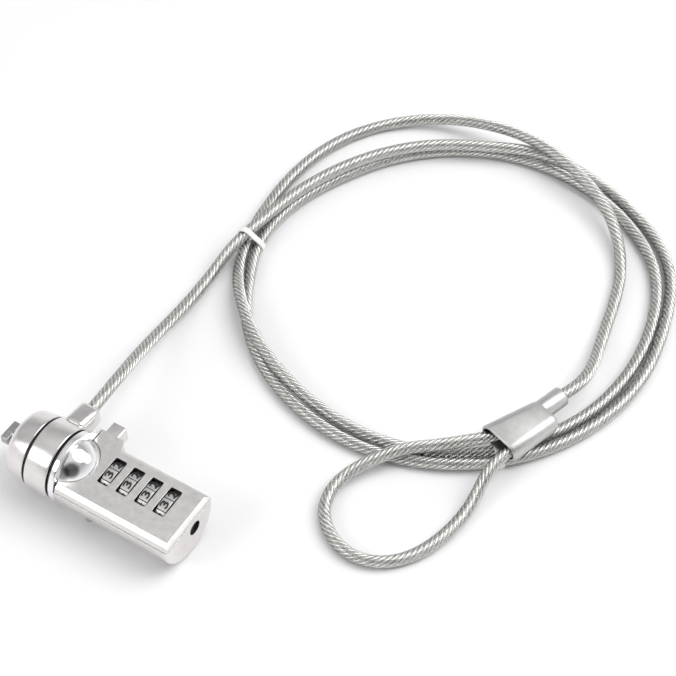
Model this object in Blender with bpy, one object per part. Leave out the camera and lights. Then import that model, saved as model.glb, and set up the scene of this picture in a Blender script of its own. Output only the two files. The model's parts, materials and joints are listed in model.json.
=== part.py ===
"""Laptop cable lock: a four-dial combination lock on a coiled steel cable.

Lock coordinates: X runs along the lock from the head (-X) to the dial end (+X), Y points to the side of
the button and the cable, Z is up and the lock's axis is at y = z = 0. The empty lock_frame carries them:
it stands HEAD_R above the surface, so that the lock lies on z = 0. Sizes are in millimetres until MM turns
them to metres.
"""

import bmesh
import bpy
import numpy as np
from mathutils import Matrix, Vector

MM = 0.001
GAP = 0.3  # between pieces that touch or turn in one another

# Head: nose cap, swivel ring and housing rim on one axis, with a washer in each groove.
HEAD_R = 11.0
NOSE_FRONT, NOSE_BACK = -7.6, -0.45
RING_FRONT, RING_BACK = 0.45, 7.85
RIM_FRONT, RIM_BACK = 8.75, 10.6
WASHER_R, WASHER_T = 10.3, 0.5
SPIGOT_R, SPIGOT_FRONT, SPIGOT_BORE = 6.0, -4.9, 1.8
DOME_R, DOME_WALL = 9.1, 1.2

# Block: a round body cut flat on top, split at the seam into housing and cover.
BODY_R, CAVITY_R = 10.6, 9.4
BODY_END, CAVITY_FRONT, CAVITY_END = 48.3, 10.4, 46.3
DECK_Z, DECK_HALF, DECK_WALL = 4.05, 8.7, 1.2
SEAM_Z = 1.5
EDGE = 0.85  # chamfer round the dial end

# Dials, spindle and combination parts share one axis.
DIAL_Y, DIAL_Z = 2.2, -1.9
DIAL_COUNT, DIAL_FIRST, DIAL_PITCH = 4, 21.4, 6.13
DIAL_R, DIAL_BORE, DIAL_WIDTH = 6.2, 4.2, 2.8
WINDOW = (3.4, 9.0)  # along X and along Y
WINDOW_Y = 2.06
HUB_SIDES, HUB_R, HUB_HALF, HUB_FLANGE_R, HUB_FLANGE_T = 10, 3.8, 2.2, 4.35, 0.5
SPINDLE_R, SPINDLE_BORE, SPINDLE_END = 1.6, 1.9, 43.8
FIN_WIDTH, FIN_TOP, FIN_THICK = 1.0, 2.9, 0.7
PLATE_R, PLATE_TOP = 9.1, 1.1
PLATES = {"front_bearing_plate": (17.0, 18.0), "rear_bearing_plate": (42.4, 43.3)}

# T-bar and its push button.
STEM_R, BAR_HALF_LENGTH, BAR_HALF_WIDTH = 1.5, 3.3, 1.3
BAR_TIP, BAR_INNER = -13.7, -11.1
CRANK = (10.8, 11.9)
CRANK_R, CRANK_ARM, CRANK_PIN_R = 3.0, 2.2, 0.5
BUTTON_X, BUTTON_Z, BUTTON_TIP = (11.0, 15.4), (-2.3, 2.7), 16.9
SPINDLE_PER_BUTTON = 0.32  # how far the wedge moves the spindle for each part of the button's travel
TAIL_X, TAIL_Z, TAIL_END = (12.4, 14.2), (-3.2, 0.6), -0.6
SHOULDER = ((10.6, 12.3), (17.8, 12.3), (19.7, 8.6))  # plan corners, x and y
SHOULDER_BOTTOM = -5.0

# Cable and what is on it.
CABLE_R = 1.8
BOSS_X = (0.9, 7.4)
BOSS_END = 16.5
CABLE_X, CABLE_Z = 3.9, 4.0  # where the cable leaves the boss
ROUTE_SAMPLES = 92
SLEEVE_AT, SLEEVE_ALONG = (87.3, 67.4, 8.3), (0.306, 0.952, 0.0)  # wide end and direction, on the surface
SLEEVE_LONG, COLLAR_LONG, SLEEVE_R, COLLAR_R, SLEEVE_BORE = 17.2, 8.3, 3.3, 3.0, 2.35
STRANDS = (1.2, -3.0)  # the standing and the returning cable, across the sleeve
SLEEVE_FLARE = 3.0  # how far the standing cable's side leans out at the wide end
TIE_T, TIE_WIDTH, TIE_GAP = 0.35, 2.0, 0.27
TIES = {
    "tie_1": ((-17.0, 98.0, 3.0), (-0.1, 1.0, 0.0)),
    "tie_2": ((86.6, 68.3, 2.4), (0.72, 0.69, 0.0)),
}

CABLE_START = (-13.4, 5.9, 15)  # in the ferrule, and straight from there to the boss's mouth

# Where the cable lies, in millimetres on the surface: out of the boss, three times round the coil, over it
# into the sleeve, round the small loop and back into the sleeve.
ROUTE = (
    (-13.4, 14.2, 15), (-14.3, 24, 13.9), (-17.7, 42.5, 8), (-20.1, 71.9, 1.9), (-20.4, 82, 2.2),
    (-19.8, 91.7, 4.9), (-18.2, 101.5, 6.2), (-17.1, 111.5, 5.7), (-11.9, 131, 5.7), (11.8, 163, 5.7),
    (29.4, 172.8, 5.6), (38.7, 176.8, 5.4), (58.2, 179.3, 2.3), (77.8, 172.9, 1.9), (94.4, 161.4, 1.9),
    (106.7, 133.9, 1.9), (109.1, 113.9, 1.9), (96.5, 76.2, 2.2), (82.4, 61.8, 2.6), (64.4, 52.9, 1.9),
    (54.6, 50.6, 1.9), (-0.1, 70.9, 1.9), (-10.6, 88.1, 2), (-14.3, 97.5, 2.7), (-15.4, 117.5, 1.9),
    (-9, 136.6, 1.9), (1.5, 153.8, 1.9), (35, 175, 1.9), (83.2, 164.7, 1.9), (90.9, 158.2, 1.9),
    (103.5, 131, 1.9), (103.4, 101, 1.9), (90.1, 74.1, 2.6), (65.3, 57.3, 1.9), (45.4, 54.6, 2.1),
    (7.1, 65.2, 5.6), (-8.1, 78.4, 4.6), (-13.8, 86.4, 2.7), (-17.7, 95.7, 2.7), (-21.7, 115.4, 1.9),
    (-19.7, 145.5, 1.9), (-10.5, 163.3, 2), (5.4, 175.2, 3.8), (24.8, 179, 7.2), (34.9, 178.8, 8.5),
    (54.5, 174.3, 8.7), (72.2, 165.5, 5.7), (84.6, 150.2, 2), (90.6, 131, 1.9), (92.8, 121.2, 2.5),
    (95, 111.4, 4.3), (95.8, 98, 7.9), (93.7, 91.1, 8.3), (90.1, 79.9, 8.3), (87.8, 75.1, 8.3),
    (85.1, 70.8, 8.3), (83.1, 68.3, 8.2), (78.4, 64.2, 7.7), (70.9, 58.5, 6.7), (63.4, 52.8, 5.7),
    (58.9, 46.9, 4.9), (53.9, 38.4, 2.8), (54.1, 28.6, 1.9), (69.9, 18.3, 1.9), (79, 22.1, 1.9),
    (87.7, 39.9, 1.9), (88.6, 49.8, 2.8), (88.7, 59.3, 6.9), (90, 65.8, 8.4), (91.6, 70.8, 8.3),
    (94, 78.4, 8.3),
)

COVER_SCREWS = ((19.8, -7.6), (45.0, -6.6), (45.0, 7.0))
SCREW_R, SCREW_HEAD_R, POST_R = 0.8, 1.45, 1.5
RESET_HOLE_R, RESET_R = 2.2, 1.9

# The lock is centred over the origin: half the length and half the width between its furthest pieces.
ORIGIN_X = -(BAR_TIP + BODY_END) / 2
ORIGIN_Y = -(BUTTON_TIP - HEAD_R) / 2

MATERIALS = {
    "satin_zinc": ((0.62, 0.61, 0.60), 1.0, 0.32),
    "polished_zinc": ((0.80, 0.80, 0.80), 1.0, 0.12),
    "steel": ((0.55, 0.55, 0.56), 1.0, 0.30),
    "brass": ((0.72, 0.55, 0.28), 1.0, 0.35),
    "black_nylon": ((0.02, 0.02, 0.02), 0.0, 0.50),
    "coated_cable": ((0.66, 0.67, 0.66), 0.6, 0.25),
    "aluminium": ((0.70, 0.70, 0.70), 1.0, 0.40),
    "white_tie": ((0.90, 0.90, 0.89), 0.0, 0.50),
}


def clear_scene():
    for obj in list(bpy.data.objects):
        bpy.data.objects.remove(obj, do_unlink=True)


def material(name):
    found = bpy.data.materials.get(name)
    if found:
        return found
    colour, metallic, roughness = MATERIALS[name]
    made = bpy.data.materials.new(name)
    made.use_nodes = True
    shader = made.node_tree.nodes["Principled BSDF"]
    shader.inputs["Base Color"].default_value = (*colour, 1.0)
    shader.inputs["Metallic"].default_value = metallic
    shader.inputs["Roughness"].default_value = roughness
    made.diffuse_color = (*colour, 1.0)
    return made


def add_object(name, data, finish=None, parent=None):
    """A node when it has a finish, or else a hidden helper that a Boolean reads."""
    obj = bpy.data.objects.new(name, data)
    bpy.context.scene.collection.objects.link(obj)
    obj.parent = parent or bpy.data.objects["lock_frame"]
    if finish:
        data.materials.append(material(finish))
    else:
        obj.hide_render = True
        obj.display_type = "WIRE"
    return obj


def from_bmesh(name, bm, finish=None, parent=None, smooth=35):
    bmesh.ops.recalc_face_normals(bm, faces=bm.faces)
    bmesh.ops.scale(bm, vec=(MM, MM, MM), verts=bm.verts)
    mesh = bpy.data.meshes.new(name)
    bm.to_mesh(mesh)
    bm.free()
    mesh.shade_smooth()
    mesh.set_sharp_from_angle(angle=np.radians(smooth))
    return add_object(name, mesh, finish, parent)


def turned(name, profile, centre=(0.0, 0.0), steps=48, finish=None, parent=None):
    """A profile of (x, radius) points turned about the X direction. A radius of 0 becomes a pole."""
    bm = bmesh.new()
    turns = np.linspace(0, 2 * np.pi, steps, endpoint=False)
    rings = []
    for x, radius in profile:
        if radius == 0:
            rings.append([bm.verts.new((x, *centre))] * steps)
        else:
            rings.append(
                [
                    bm.verts.new((x, centre[0] + radius * np.cos(t), centre[1] + radius * np.sin(t)))
                    for t in turns
                ]
            )
    has_poles = profile[0][1] == 0
    pairs = list(zip(rings, rings[1:])) + ([] if has_poles else [(rings[-1], rings[0])])
    for ring, following in pairs:
        for i in range(steps):
            j = (i + 1) % steps
            corners = dict.fromkeys((ring[i], ring[j], following[j], following[i]))
            bm.faces.new(list(corners))
    return from_bmesh(name, bm, finish, parent)


def slab(name, outline, axis, low, high, finish=None, parent=None):
    """An outline drawn in the two other axes, in X, Y, Z order, and extruded along axis from low to high."""
    bm = bmesh.new()
    ends = []
    for level in (low, high):
        points = []
        for a, b in outline:
            point = [a, b]
            point.insert(axis, level)
            points.append(bm.verts.new(point))
        ends.append(points)
    bm.faces.new(ends[0])
    bm.faces.new(ends[1])
    for i in range(len(outline)):
        j = (i + 1) % len(outline)
        bm.faces.new((ends[0][i], ends[0][j], ends[1][j], ends[1][i]))
    return from_bmesh(name, bm, finish, parent)


def block(name, x, y, z, finish=None, parent=None):
    return slab(name, ((x[0], y[0]), (x[1], y[0]), (x[1], y[1]), (x[0], y[1])), 2, *z, finish, parent)


def rounded_rectangle(centre, size, radius, steps=4):
    points = []
    for corner, (sx, sy) in enumerate(((1, 1), (-1, 1), (-1, -1), (1, -1))):
        for t in np.linspace(0, np.pi / 2, steps) + corner * np.pi / 2:
            x = centre[0] + sx * (size[0] / 2 - radius) + radius * np.cos(t)
            y = centre[1] + sy * (size[1] / 2 - radius) + radius * np.sin(t)
            points.append((x, y))
    return points


def rod(name, start, end, radius, steps=16, finish=None, parent=None):
    """A round bar between two points."""
    bm = bmesh.new()
    start, end = Vector(start), Vector(end)
    along = end - start
    place = Matrix.Translation((start + end) / 2) @ along.to_track_quat("Z", "Y").to_matrix().to_4x4()
    bmesh.ops.create_cone(
        bm, cap_ends=True, segments=steps, radius1=radius, radius2=radius, depth=along.length, matrix=place
    )
    return from_bmesh(name, bm, finish, parent)


def bevel(obj, width, segments=2, angle=35):
    modifier = obj.modifiers.new("bevel", "BEVEL")
    modifier.width = width * MM
    modifier.segments = segments
    modifier.limit_method = "ANGLE"
    modifier.angle_limit = np.radians(angle)
    return obj


def combine(obj, operation, *others):
    for other in others:
        modifier = obj.modifiers.new(other.name, "BOOLEAN")
        modifier.operation = operation
        modifier.solver = "EXACT"
        modifier.object = other
    return obj


def cut(obj, *others):
    return combine(obj, "DIFFERENCE", *others)


def join(obj, *others):
    return combine(obj, "UNION", *others)


def prism(name, outline, low, high, place, finish=None, start=None):
    """An outline in the first two axes of place, a matrix, extruded along its third one.

    start is the outline at the low end, where that one is another."""
    bm = bmesh.new()
    levels = ((start or outline, low), (outline, high))
    ends = [[bm.verts.new(place @ Vector((a, b, level))) for a, b in points] for points, level in levels]
    bm.faces.new(ends[0])
    bm.faces.new(ends[1])
    for i in range(len(outline)):
        j = (i + 1) % len(outline)
        bm.faces.new((ends[0][i], ends[0][j], ends[1][j], ends[1][i]))
    return from_bmesh(name, bm, finish)


def around(centres, radius, steps=32):
    """The outline of a band pulled tight round circles of one radius."""
    points = []
    for t in np.linspace(0, 2 * np.pi, steps, endpoint=False):
        way = Vector((np.cos(t), np.sin(t)))
        furthest = max(centres, key=lambda c: way.dot(Vector(c)))
        points.append(Vector(furthest) + radius * way)
    return points


def coil_spring(name, start, end, radius, wire, turns, finish="steel"):
    """A compression spring as a bevelled helix, about the line from start to end."""
    start, end = Vector(start), Vector(end)
    along = end - start
    frame = along.to_track_quat("Z", "Y").to_matrix()
    count = turns * 10
    points = []
    for i in range(count + 1):
        t = 2 * np.pi * turns * i / count
        points.append(start + frame @ Vector((radius * np.cos(t), radius * np.sin(t), along.length * i / count)))
    return tube(name, points, wire, finish)


def tube(name, points, radius, finish, resolution=1):
    curve = bpy.data.curves.new(name, "CURVE")
    curve.dimensions = "3D"
    curve.bevel_depth = radius * MM
    curve.bevel_resolution = resolution
    curve.use_fill_caps = True
    spline = curve.splines.new("POLY")
    spline.points.add(len(points) - 1)
    for target, point in zip(spline.points, points):
        target.co = (*(Vector(point) * MM), 1.0)
    return add_object(name, curve, finish)


def add_frame():
    frame = bpy.data.objects.new("lock_frame", None)
    bpy.context.scene.collection.objects.link(frame)
    frame.location = (ORIGIN_X * MM, ORIGIN_Y * MM, HEAD_R * MM)


def pivot(name, x, y, z):
    """An empty on a joint's axis, and the offset that brings lock coordinates back for its children."""
    empty = bpy.data.objects.new(name, None)
    bpy.context.scene.collection.objects.link(empty)
    empty.parent = bpy.data.objects["lock_frame"]
    empty.location = (x * MM, y * MM, z * MM)
    return empty


def on_pivot(obj, empty):
    """Hangs an object on a joint's empty without moving it."""
    obj.parent = empty
    obj.location = -empty.location
    return obj


# Housing


def shoulder_outline(far_first):
    return [(far_first, 6.0), (far_first, SHOULDER[0][1]), *SHOULDER[1:], (SHOULDER[-1][0], 6.0)]


def window_cutter(name):
    return block(
        name,
        (BUTTON_X[0] - GAP, BUTTON_X[1] + GAP),
        (7.5, 13.5),
        (BUTTON_Z[0] - GAP, BUTTON_Z[1] + GAP),
    )


def make_housing():
    profile = [(SPIGOT_FRONT, 0), (SPIGOT_FRONT, SPIGOT_R), (RIM_FRONT, SPIGOT_R), (RIM_FRONT, HEAD_R - 0.3)]
    profile += [(RIM_FRONT + 0.3, HEAD_R), (RIM_BACK, HEAD_R), (RIM_BACK, BODY_R)]
    profile += [(BODY_END - EDGE, BODY_R), (BODY_END, BODY_R - EDGE), (BODY_END, 0)]
    housing = turned("housing", profile, steps=56, finish="satin_zinc")
    shoulder = slab("helper_shoulder", shoulder_outline(9.5), 2, SHOULDER_BOTTOM, 4.0)
    bevel(shoulder, 0.8, 2)
    cavity = [(CAVITY_FRONT, 0), (CAVITY_FRONT, CAVITY_R), (CAVITY_END, CAVITY_R), (CAVITY_END, 0)]
    above = block("helper_above_seam", (RIM_BACK, 60), (-20, 20), (SEAM_Z - GAP / 2, 20))
    join(housing, shoulder)
    cut(housing, turned("helper_cavity", cavity, steps=56), above, make_dome_room())
    join(housing, make_dome(), *[make_post(i, *place) for i, place in enumerate(COVER_SCREWS)])
    shaft_bore = rod("helper_shaft_bore", (-10, 0, 0), (12, 0, 0), SPIGOT_BORE, 24)
    reset_hole = rod("helper_reset_hole", (45, DIAL_Y, DIAL_Z), (50, DIAL_Y, DIAL_Z), RESET_HOLE_R, 24)
    pin_hole = rod("helper_pin_hole", (-2.6, 0, -12), (-2.6, 0, -3.6), 1.1, 16)
    cut(housing, shaft_bore, reset_hole, pin_hole, window_cutter("helper_button_window"))
    for i, (x, y) in enumerate(COVER_SCREWS):
        cut(housing, rod(f"helper_clearance_{i}", (x, y, -12), (x, y, 3), SCREW_R + GAP, 12))
        cut(housing, rod(f"helper_counterbore_{i}", (x, y, -12), (x, y, -6.2), SCREW_HEAD_R + GAP, 16))


def dome_profile(radius, wall, front):
    arc = [np.arccos((front - RIM_FRONT) / radius) * i / 12 for i in range(13)]
    outer = [(RIM_FRONT + radius * np.cos(t), radius * np.sin(t)) for t in arc]
    if wall == 0:
        return [(outer[0][0], 0), *outer[1:], (front, 0)]
    inner = [(RIM_FRONT + (radius - wall) * np.cos(t), (radius - wall) * np.sin(t)) for t in arc[::-1]]
    return [(outer[0][0], 0), *outer[1:], *inner[:-1], (inner[-1][0], 0)]


def make_dome_room():
    """The hollow that the dome covers, opened in the rim above the seam."""
    profile = [(CAVITY_FRONT, 0), (CAVITY_FRONT, 7.0), (RIM_BACK + 1, 7.0), (RIM_BACK + 1, 0)]
    return turned("helper_dome_room", profile, steps=40)


def make_dome():
    dome = turned("helper_dome", dome_profile(DOME_R, DOME_WALL, 9.6), steps=56)
    return cut(dome, block("helper_below_dome", (0, 30), (-20, 20), (-20, SEAM_Z - GAP / 2)))


def make_post(index, x, y):
    foot = -np.sqrt((CAVITY_R + 0.6) ** 2 - y**2)
    return rod(f"helper_post_{index}", (x, y, foot), (x, y, SEAM_Z - GAP / 2), POST_R, 16)


def make_cover():
    low = SEAM_Z + GAP / 2
    side = np.sqrt(BODY_R**2 - low**2)
    outline = [(-side, low), (side, low), (9.95, 3.1), (DECK_HALF, DECK_Z)]
    outline += [(-DECK_HALF, DECK_Z), (-9.95, 3.1)]
    cover = slab("top_cover", outline, 0, RIM_BACK + 0.2, BODY_END, finish="satin_zinc")
    shoulder = slab("helper_cover_shoulder", shoulder_outline(RIM_BACK + 0.2), 2, low, DECK_Z)
    underside = block("helper_underside", (0, CAVITY_END), (-9.0, 9.0), (0, DECK_Z - DECK_WALL))
    end_chamfer = slab(
        "helper_end_chamfer",
        ((BODY_END - EDGE, DECK_Z), (BODY_END, DECK_Z - EDGE), (BODY_END + 1, DECK_Z - EDGE),
         (BODY_END + 1, DECK_Z + 1), (BODY_END - EDGE, DECK_Z + 1)),
        1, -15, 15,
    )
    dome_clearance = turned("helper_dome_clearance", dome_profile(DOME_R + 0.2, 0, 5.0), steps=56)
    join(cover, shoulder)
    cut(cover, underside, end_chamfer)
    posts = [rod(f"helper_cover_post_{i}", (x, y, low), (x, y, 3.2), POST_R, 16)
             for i, (x, y) in enumerate(COVER_SCREWS)]
    join(cover, *posts)
    cut(cover, dome_clearance, window_cutter("helper_cover_button_window"))
    for i, (x, y) in enumerate(COVER_SCREWS):
        cut(cover, rod(f"helper_thread_{i}", (x, y, 0), (x, y, 3.0), SCREW_R + 0.2, 12))
    for i in range(DIAL_COUNT):
        outline = rounded_rectangle((dial_x(i), WINDOW_Y), WINDOW, 0.6)
        cut(cover, slab(f"helper_dial_window_{i}", outline, 2, 0, 6))


def make_cover_screw(index, x, y):
    name = f"cover_screw_{index + 1}"
    screw = rod(name, (x, y, -7.3), (x, y, -6.3), SCREW_HEAD_R, 16, finish="steel")
    shank = rod(f"helper_shank_{index}", (x, y, -6.8), (x, y, 2.7), SCREW_R, 12)
    slot = block(f"helper_slot_{index}", (x - 2, x + 2), (y - 0.2, y + 0.2), (-8, -6.9))
    cut(join(screw, shank), slot)


# Head


def make_nose_cap():
    arc = [np.pi / 2 * i / 5 for i in range(6)]
    fillet, edge_r = 2.7, 9.8
    profile = [(NOSE_BACK, HEAD_R - 0.6), (NOSE_BACK - 0.3, HEAD_R - 0.3)]
    profile += [
        (NOSE_FRONT + fillet - fillet * np.sin(t), edge_r - fillet + fillet * np.cos(t)) for t in arc
    ]
    profile += [(NOSE_FRONT, SPIGOT_BORE), (SPIGOT_FRONT - GAP, SPIGOT_BORE)]
    profile += [(SPIGOT_FRONT - GAP, SPIGOT_R + GAP), (NOSE_BACK, SPIGOT_R + GAP)]
    cap = turned("nose_cap", profile, steps=56, finish="satin_zinc")
    cut(cap, rod("helper_cap_pin_hole", (-2.6, 0, -12), (-2.6, 0, -5), 1.1, 16))
    for name, z in (("upper", 2.6), ("lower", -2.6)):
        cut(cap, rod(f"helper_{name}_guide_hole", (-12, 0, z), (SPIGOT_FRONT - 0.5, 0, z), 0.75, 12))
        rod(f"guide_pin_{name}", (-9.6, 0, z), (SPIGOT_FRONT - 0.6, 0, z), 0.6, 12, finish="steel")
    rod("nose_pin", (-2.6, 0, -9.9), (-2.6, 0, -4.0), 0.85, 14, finish="steel")


def make_washers():
    for name, middle in (("front_washer", 0.0), ("rear_washer", (RING_BACK + RIM_FRONT) / 2)):
        low, high = middle - WASHER_T / 2, middle + WASHER_T / 2
        profile = [(low, WASHER_R), (low, SPIGOT_R + GAP), (high, SPIGOT_R + GAP), (high, WASHER_R)]
        turned(name, profile, steps=48, finish="black_nylon")


def make_swivel_ring():
    """The ring that carries the cable: its boss reaches towards +Y and slopes down a little."""
    edge = 0.25
    profile = [(RING_FRONT, SPIGOT_R + GAP), (RING_FRONT, HEAD_R - edge), (RING_FRONT + edge, HEAD_R)]
    profile += [(RING_BACK - edge, HEAD_R), (RING_BACK, HEAD_R - edge), (RING_BACK, SPIGOT_R + GAP)]
    ring = turned("swivel_ring", profile, steps=56, finish="satin_zinc")
    outline = [(7.4, -0.3), (7.4, 8.2), (BOSS_END, 6.7), (BOSS_END, 0.9)]
    boss = slab("helper_boss", outline, 0, *BOSS_X)
    bevel(boss, 1.5, 3, 40)
    bore = rod("helper_cable_bore", (CABLE_X, 8.4, CABLE_Z), (CABLE_X, 20, CABLE_Z), CABLE_R + GAP, 16)
    seat = rod("helper_ferrule_seat", (CABLE_X, 8.4, CABLE_Z), (CABLE_X, 13.3, CABLE_Z), 2.75, 16)
    join(ring, boss)
    cut(ring, bore, seat)
    tube_wall = rod("cable_ferrule", (CABLE_X, 8.7, CABLE_Z), (CABLE_X, 13.0, CABLE_Z), 2.5, 16, "aluminium")
    bore_ends = (CABLE_X, 7, CABLE_Z), (CABLE_X, 15, CABLE_Z)
    cut(tube_wall, rod("helper_ferrule_bore", *bore_ends, CABLE_R + 0.2, 16))
    return ring, tube_wall


# T-bar and button


def make_t_bar():
    axis = pivot("t_bar_axis", 0, 0, 0)
    stem = rod("t_bar", (BAR_INNER - 1, 0, 0), (CRANK[1], 0, 0), STEM_R, 20, finish="steel")
    head = block(
        "helper_crossbar",
        (BAR_TIP, BAR_INNER),
        (-BAR_HALF_LENGTH, BAR_HALF_LENGTH),
        (-BAR_HALF_WIDTH, BAR_HALF_WIDTH),
    )
    join(stem, bevel(head, 0.5, 2))
    on_pivot(stem, axis)
    reach = CRANK_ARM * np.sqrt(0.5)
    crank = turned(
        "crank",
        [(CRANK[0], STEM_R + 0.2), (CRANK[0], CRANK_R), (CRANK[1], CRANK_R), (CRANK[1], STEM_R + 0.2)],
        steps=24,
        finish="steel",
    )
    pin = rod("helper_crank_pin", (CRANK[0] + 0.3, reach, -reach), (14.4, reach, -reach), CRANK_PIN_R, 10)
    join(crank, pin)
    on_pivot(crank, axis)


def make_button():
    """Cap, guide and flange, with a tail whose slot turns the crank and whose wedge moves the spindle."""
    cap = block("push_button", BUTTON_X, (12.2, BUTTON_TIP), BUTTON_Z, finish="satin_zinc")
    bevel(cap, 0.45, 2)
    guide = block("helper_button_guide", BUTTON_X, (8.0, 12.6), (BUTTON_Z[0], 1.0))
    flange = block("helper_button_flange", (11.0, 16.6), (7.4, 8.4), (-3.2, 1.0))
    tail = block("helper_button_tail", TAIL_X, (TAIL_END, 8.2), TAIL_Z)
    face = ((13.8, 1.2), (14.3, 1.2), (wedge_x(7.6), 7.6), (13.8, 7.6))
    wedge = slab("helper_button_wedge", face, 2, -3.2, -0.4)
    reach = CRANK_ARM * np.sqrt(0.5)
    slot = block(
        "helper_crank_slot",
        (TAIL_X[0] - 1, TAIL_X[1] + 2),
        (reach - CRANK_PIN_R - GAP, reach + CRANK_PIN_R + GAP),
        (-5, -0.75),
    )
    join(cap, guide, flange, tail, wedge)
    cut(cap, slot)
    coil_spring("button_spring", (13.3, -8.5, -1.3), (13.3, TAIL_END - GAP - 0.2, -1.3), 1.1, 0.2, 6)


def wedge_x(y):
    return 14.3 + SPINDLE_PER_BUTTON * (y - 1.2)


# Combination


def dial_x(index):
    return DIAL_FIRST + DIAL_PITCH * index


def make_dial(index):
    number, x = index + 1, dial_x(index)
    axis = pivot(f"dial_axis_{number}", x, DIAL_Y, DIAL_Z)
    low, high = x - DIAL_WIDTH / 2, x + DIAL_WIDTH / 2
    edge = 0.2
    profile = [(low, DIAL_BORE), (low, DIAL_R - edge), (low + edge, DIAL_R)]
    profile += [(high - edge, DIAL_R), (high, DIAL_R - edge), (high, DIAL_BORE)]
    centre = (DIAL_Y, DIAL_Z)
    on_pivot(turned(f"dial_{number}", profile, centre, 40, "polished_zinc"), axis)
    front, back = x - HUB_HALF, x + HUB_HALF
    profile = [(front, SPINDLE_BORE), (front, HUB_R), (back - HUB_FLANGE_T, HUB_R)]
    profile += [(back - HUB_FLANGE_T, HUB_FLANGE_R), (back, HUB_FLANGE_R), (back, SPINDLE_BORE)]
    hub = turned(f"hub_{number}", profile, centre, HUB_SIDES, "brass")
    half_gate, depth = FIN_WIDTH / 2 + GAP, FIN_TOP + GAP
    gate = block(
        f"helper_gate_{number}",
        (front - 1, back + 1),
        (DIAL_Y - half_gate, DIAL_Y + half_gate),
        (DIAL_Z - depth, DIAL_Z + depth),  # on both sides, so that the spindle also moves half a turn away
    )
    on_pivot(cut(hub, gate), axis)


def make_spindle():
    """A shaft with one fin before each hub. Pushed in, its fins enter the hubs' gates."""
    start = wedge_x(DIAL_Y - SPINDLE_R) - 0.2
    spindle = rod(
        "spindle", (start, DIAL_Y, DIAL_Z), (SPINDLE_END, DIAL_Y, DIAL_Z), SPINDLE_R, 20, finish="steel"
    )
    for i in range(DIAL_COUNT):
        back = dial_x(i) - HUB_HALF - 0.25
        fin = block(
            f"helper_fin_{i}",
            (back - FIN_THICK, back),
            (DIAL_Y - FIN_WIDTH / 2, DIAL_Y + FIN_WIDTH / 2),
            (DIAL_Z - FIN_TOP, DIAL_Z - 1.0),
        )
        join(spindle, fin)
    tip = ((10, -2), (wedge_x(-2) + GAP, -2), (wedge_x(6) + GAP, 6), (10, 6))
    cut(spindle, slab("helper_spindle_tip", tip, 2, -6, 2))
    coil_spring("spindle_spring", (44.1, DIAL_Y, DIAL_Z), (45.5, DIAL_Y, DIAL_Z), 1.1, 0.14, 3)


def make_bearing_plate(name, low, high):
    profile = [(low, 0), (low, PLATE_R), (high, PLATE_R), (high, 0)]
    plate = turned(name, profile, steps=40, finish="steel")
    top = block(f"helper_{name}_top", (low - 1, high + 1), (-12, 12), (PLATE_TOP, 12))
    ends = (low - 1, DIAL_Y, DIAL_Z), (high + 1, DIAL_Y, DIAL_Z)
    bore = rod(f"helper_{name}_bore", *ends, SPINDLE_BORE, 20)
    cut(plate, top, bore)


def make_detent_comb():
    """A leaf spring with one finger on each hub's ten-sided flange."""
    back = DIAL_Y - HUB_FLANGE_R - 0.9
    comb = block(
        "detent_comb",
        (dial_x(0) + 1.4, dial_x(DIAL_COUNT - 1) + 2.4),
        (back - 0.4, back),
        (-6.6, -5.2),
        finish="steel",
    )
    for i in range(DIAL_COUNT):
        middle = dial_x(i) + HUB_HALF - HUB_FLANGE_T / 2
        outline = [(back - 0.4, -5.6), (back, -5.6), (back, DIAL_Z - 1.0), (back + 0.65, DIAL_Z)]
        outline += [(back, DIAL_Z + 1.0), (back - 0.4, DIAL_Z + 1.0)]
        join(comb, slab(f"helper_finger_{i}", outline, 0, middle - 0.5, middle + 0.5))


def make_reset_screw():
    axis = pivot("reset_axis", 47.0, DIAL_Y, DIAL_Z)
    place = (DIAL_Y, DIAL_Z)
    profile = [(45.8, 0), (45.8, 2.6), (46.1, 2.6), (46.1, RESET_R), (47.5, RESET_R), (47.5, 0)]
    screw = turned("reset_screw", profile, place, 24, "steel")
    slot = block("helper_reset_slot", (46.9, 48), (DIAL_Y - 3, DIAL_Y + 3), (DIAL_Z - 0.3, DIAL_Z + 0.3))
    on_pivot(cut(screw, slot), axis)


# Cable


def to_lock(point):
    """Lock coordinates of a point given on the surface."""
    return Vector(point) - Vector((ORIGIN_X, ORIGIN_Y, HEAD_R))


def smooth_path(points, count=1200):
    """A natural cubic spline through the points, by chord length, as evenly spaced points."""
    points = np.array(points, float)
    knots = np.concatenate(([0], np.cumsum(np.linalg.norm(np.diff(points, axis=0), axis=1))))
    gaps, last = np.diff(knots)[:, None], len(points) - 1
    system, right = np.eye(last + 1), np.zeros_like(points)
    slopes = np.diff(points, axis=0) / gaps
    for i in range(1, last):
        system[i, i - 1 : i + 2] = gaps[i - 1, 0], 2 * (gaps[i - 1, 0] + gaps[i, 0]), gaps[i, 0]
        right[i] = 6 * (slopes[i] - slopes[i - 1])
    bends = np.linalg.solve(system, right)
    at = np.linspace(0, knots[-1], count)
    i = np.clip(np.searchsorted(knots, at) - 1, 0, last - 1)
    after, before = at - knots[i], knots[i + 1] - at
    gap, low, high = gaps[i], bends[i], bends[i + 1]
    path = (low * before[:, None] ** 3 + high * after[:, None] ** 3) / (6 * gap)
    path += (points[i] / gap - low * gap / 6) * before[:, None]
    path += (points[i + 1] / gap - high * gap / 6) * after[:, None]
    path[:, 2] = np.maximum(path[:, 2], CABLE_R + 0.1)
    return path


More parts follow.
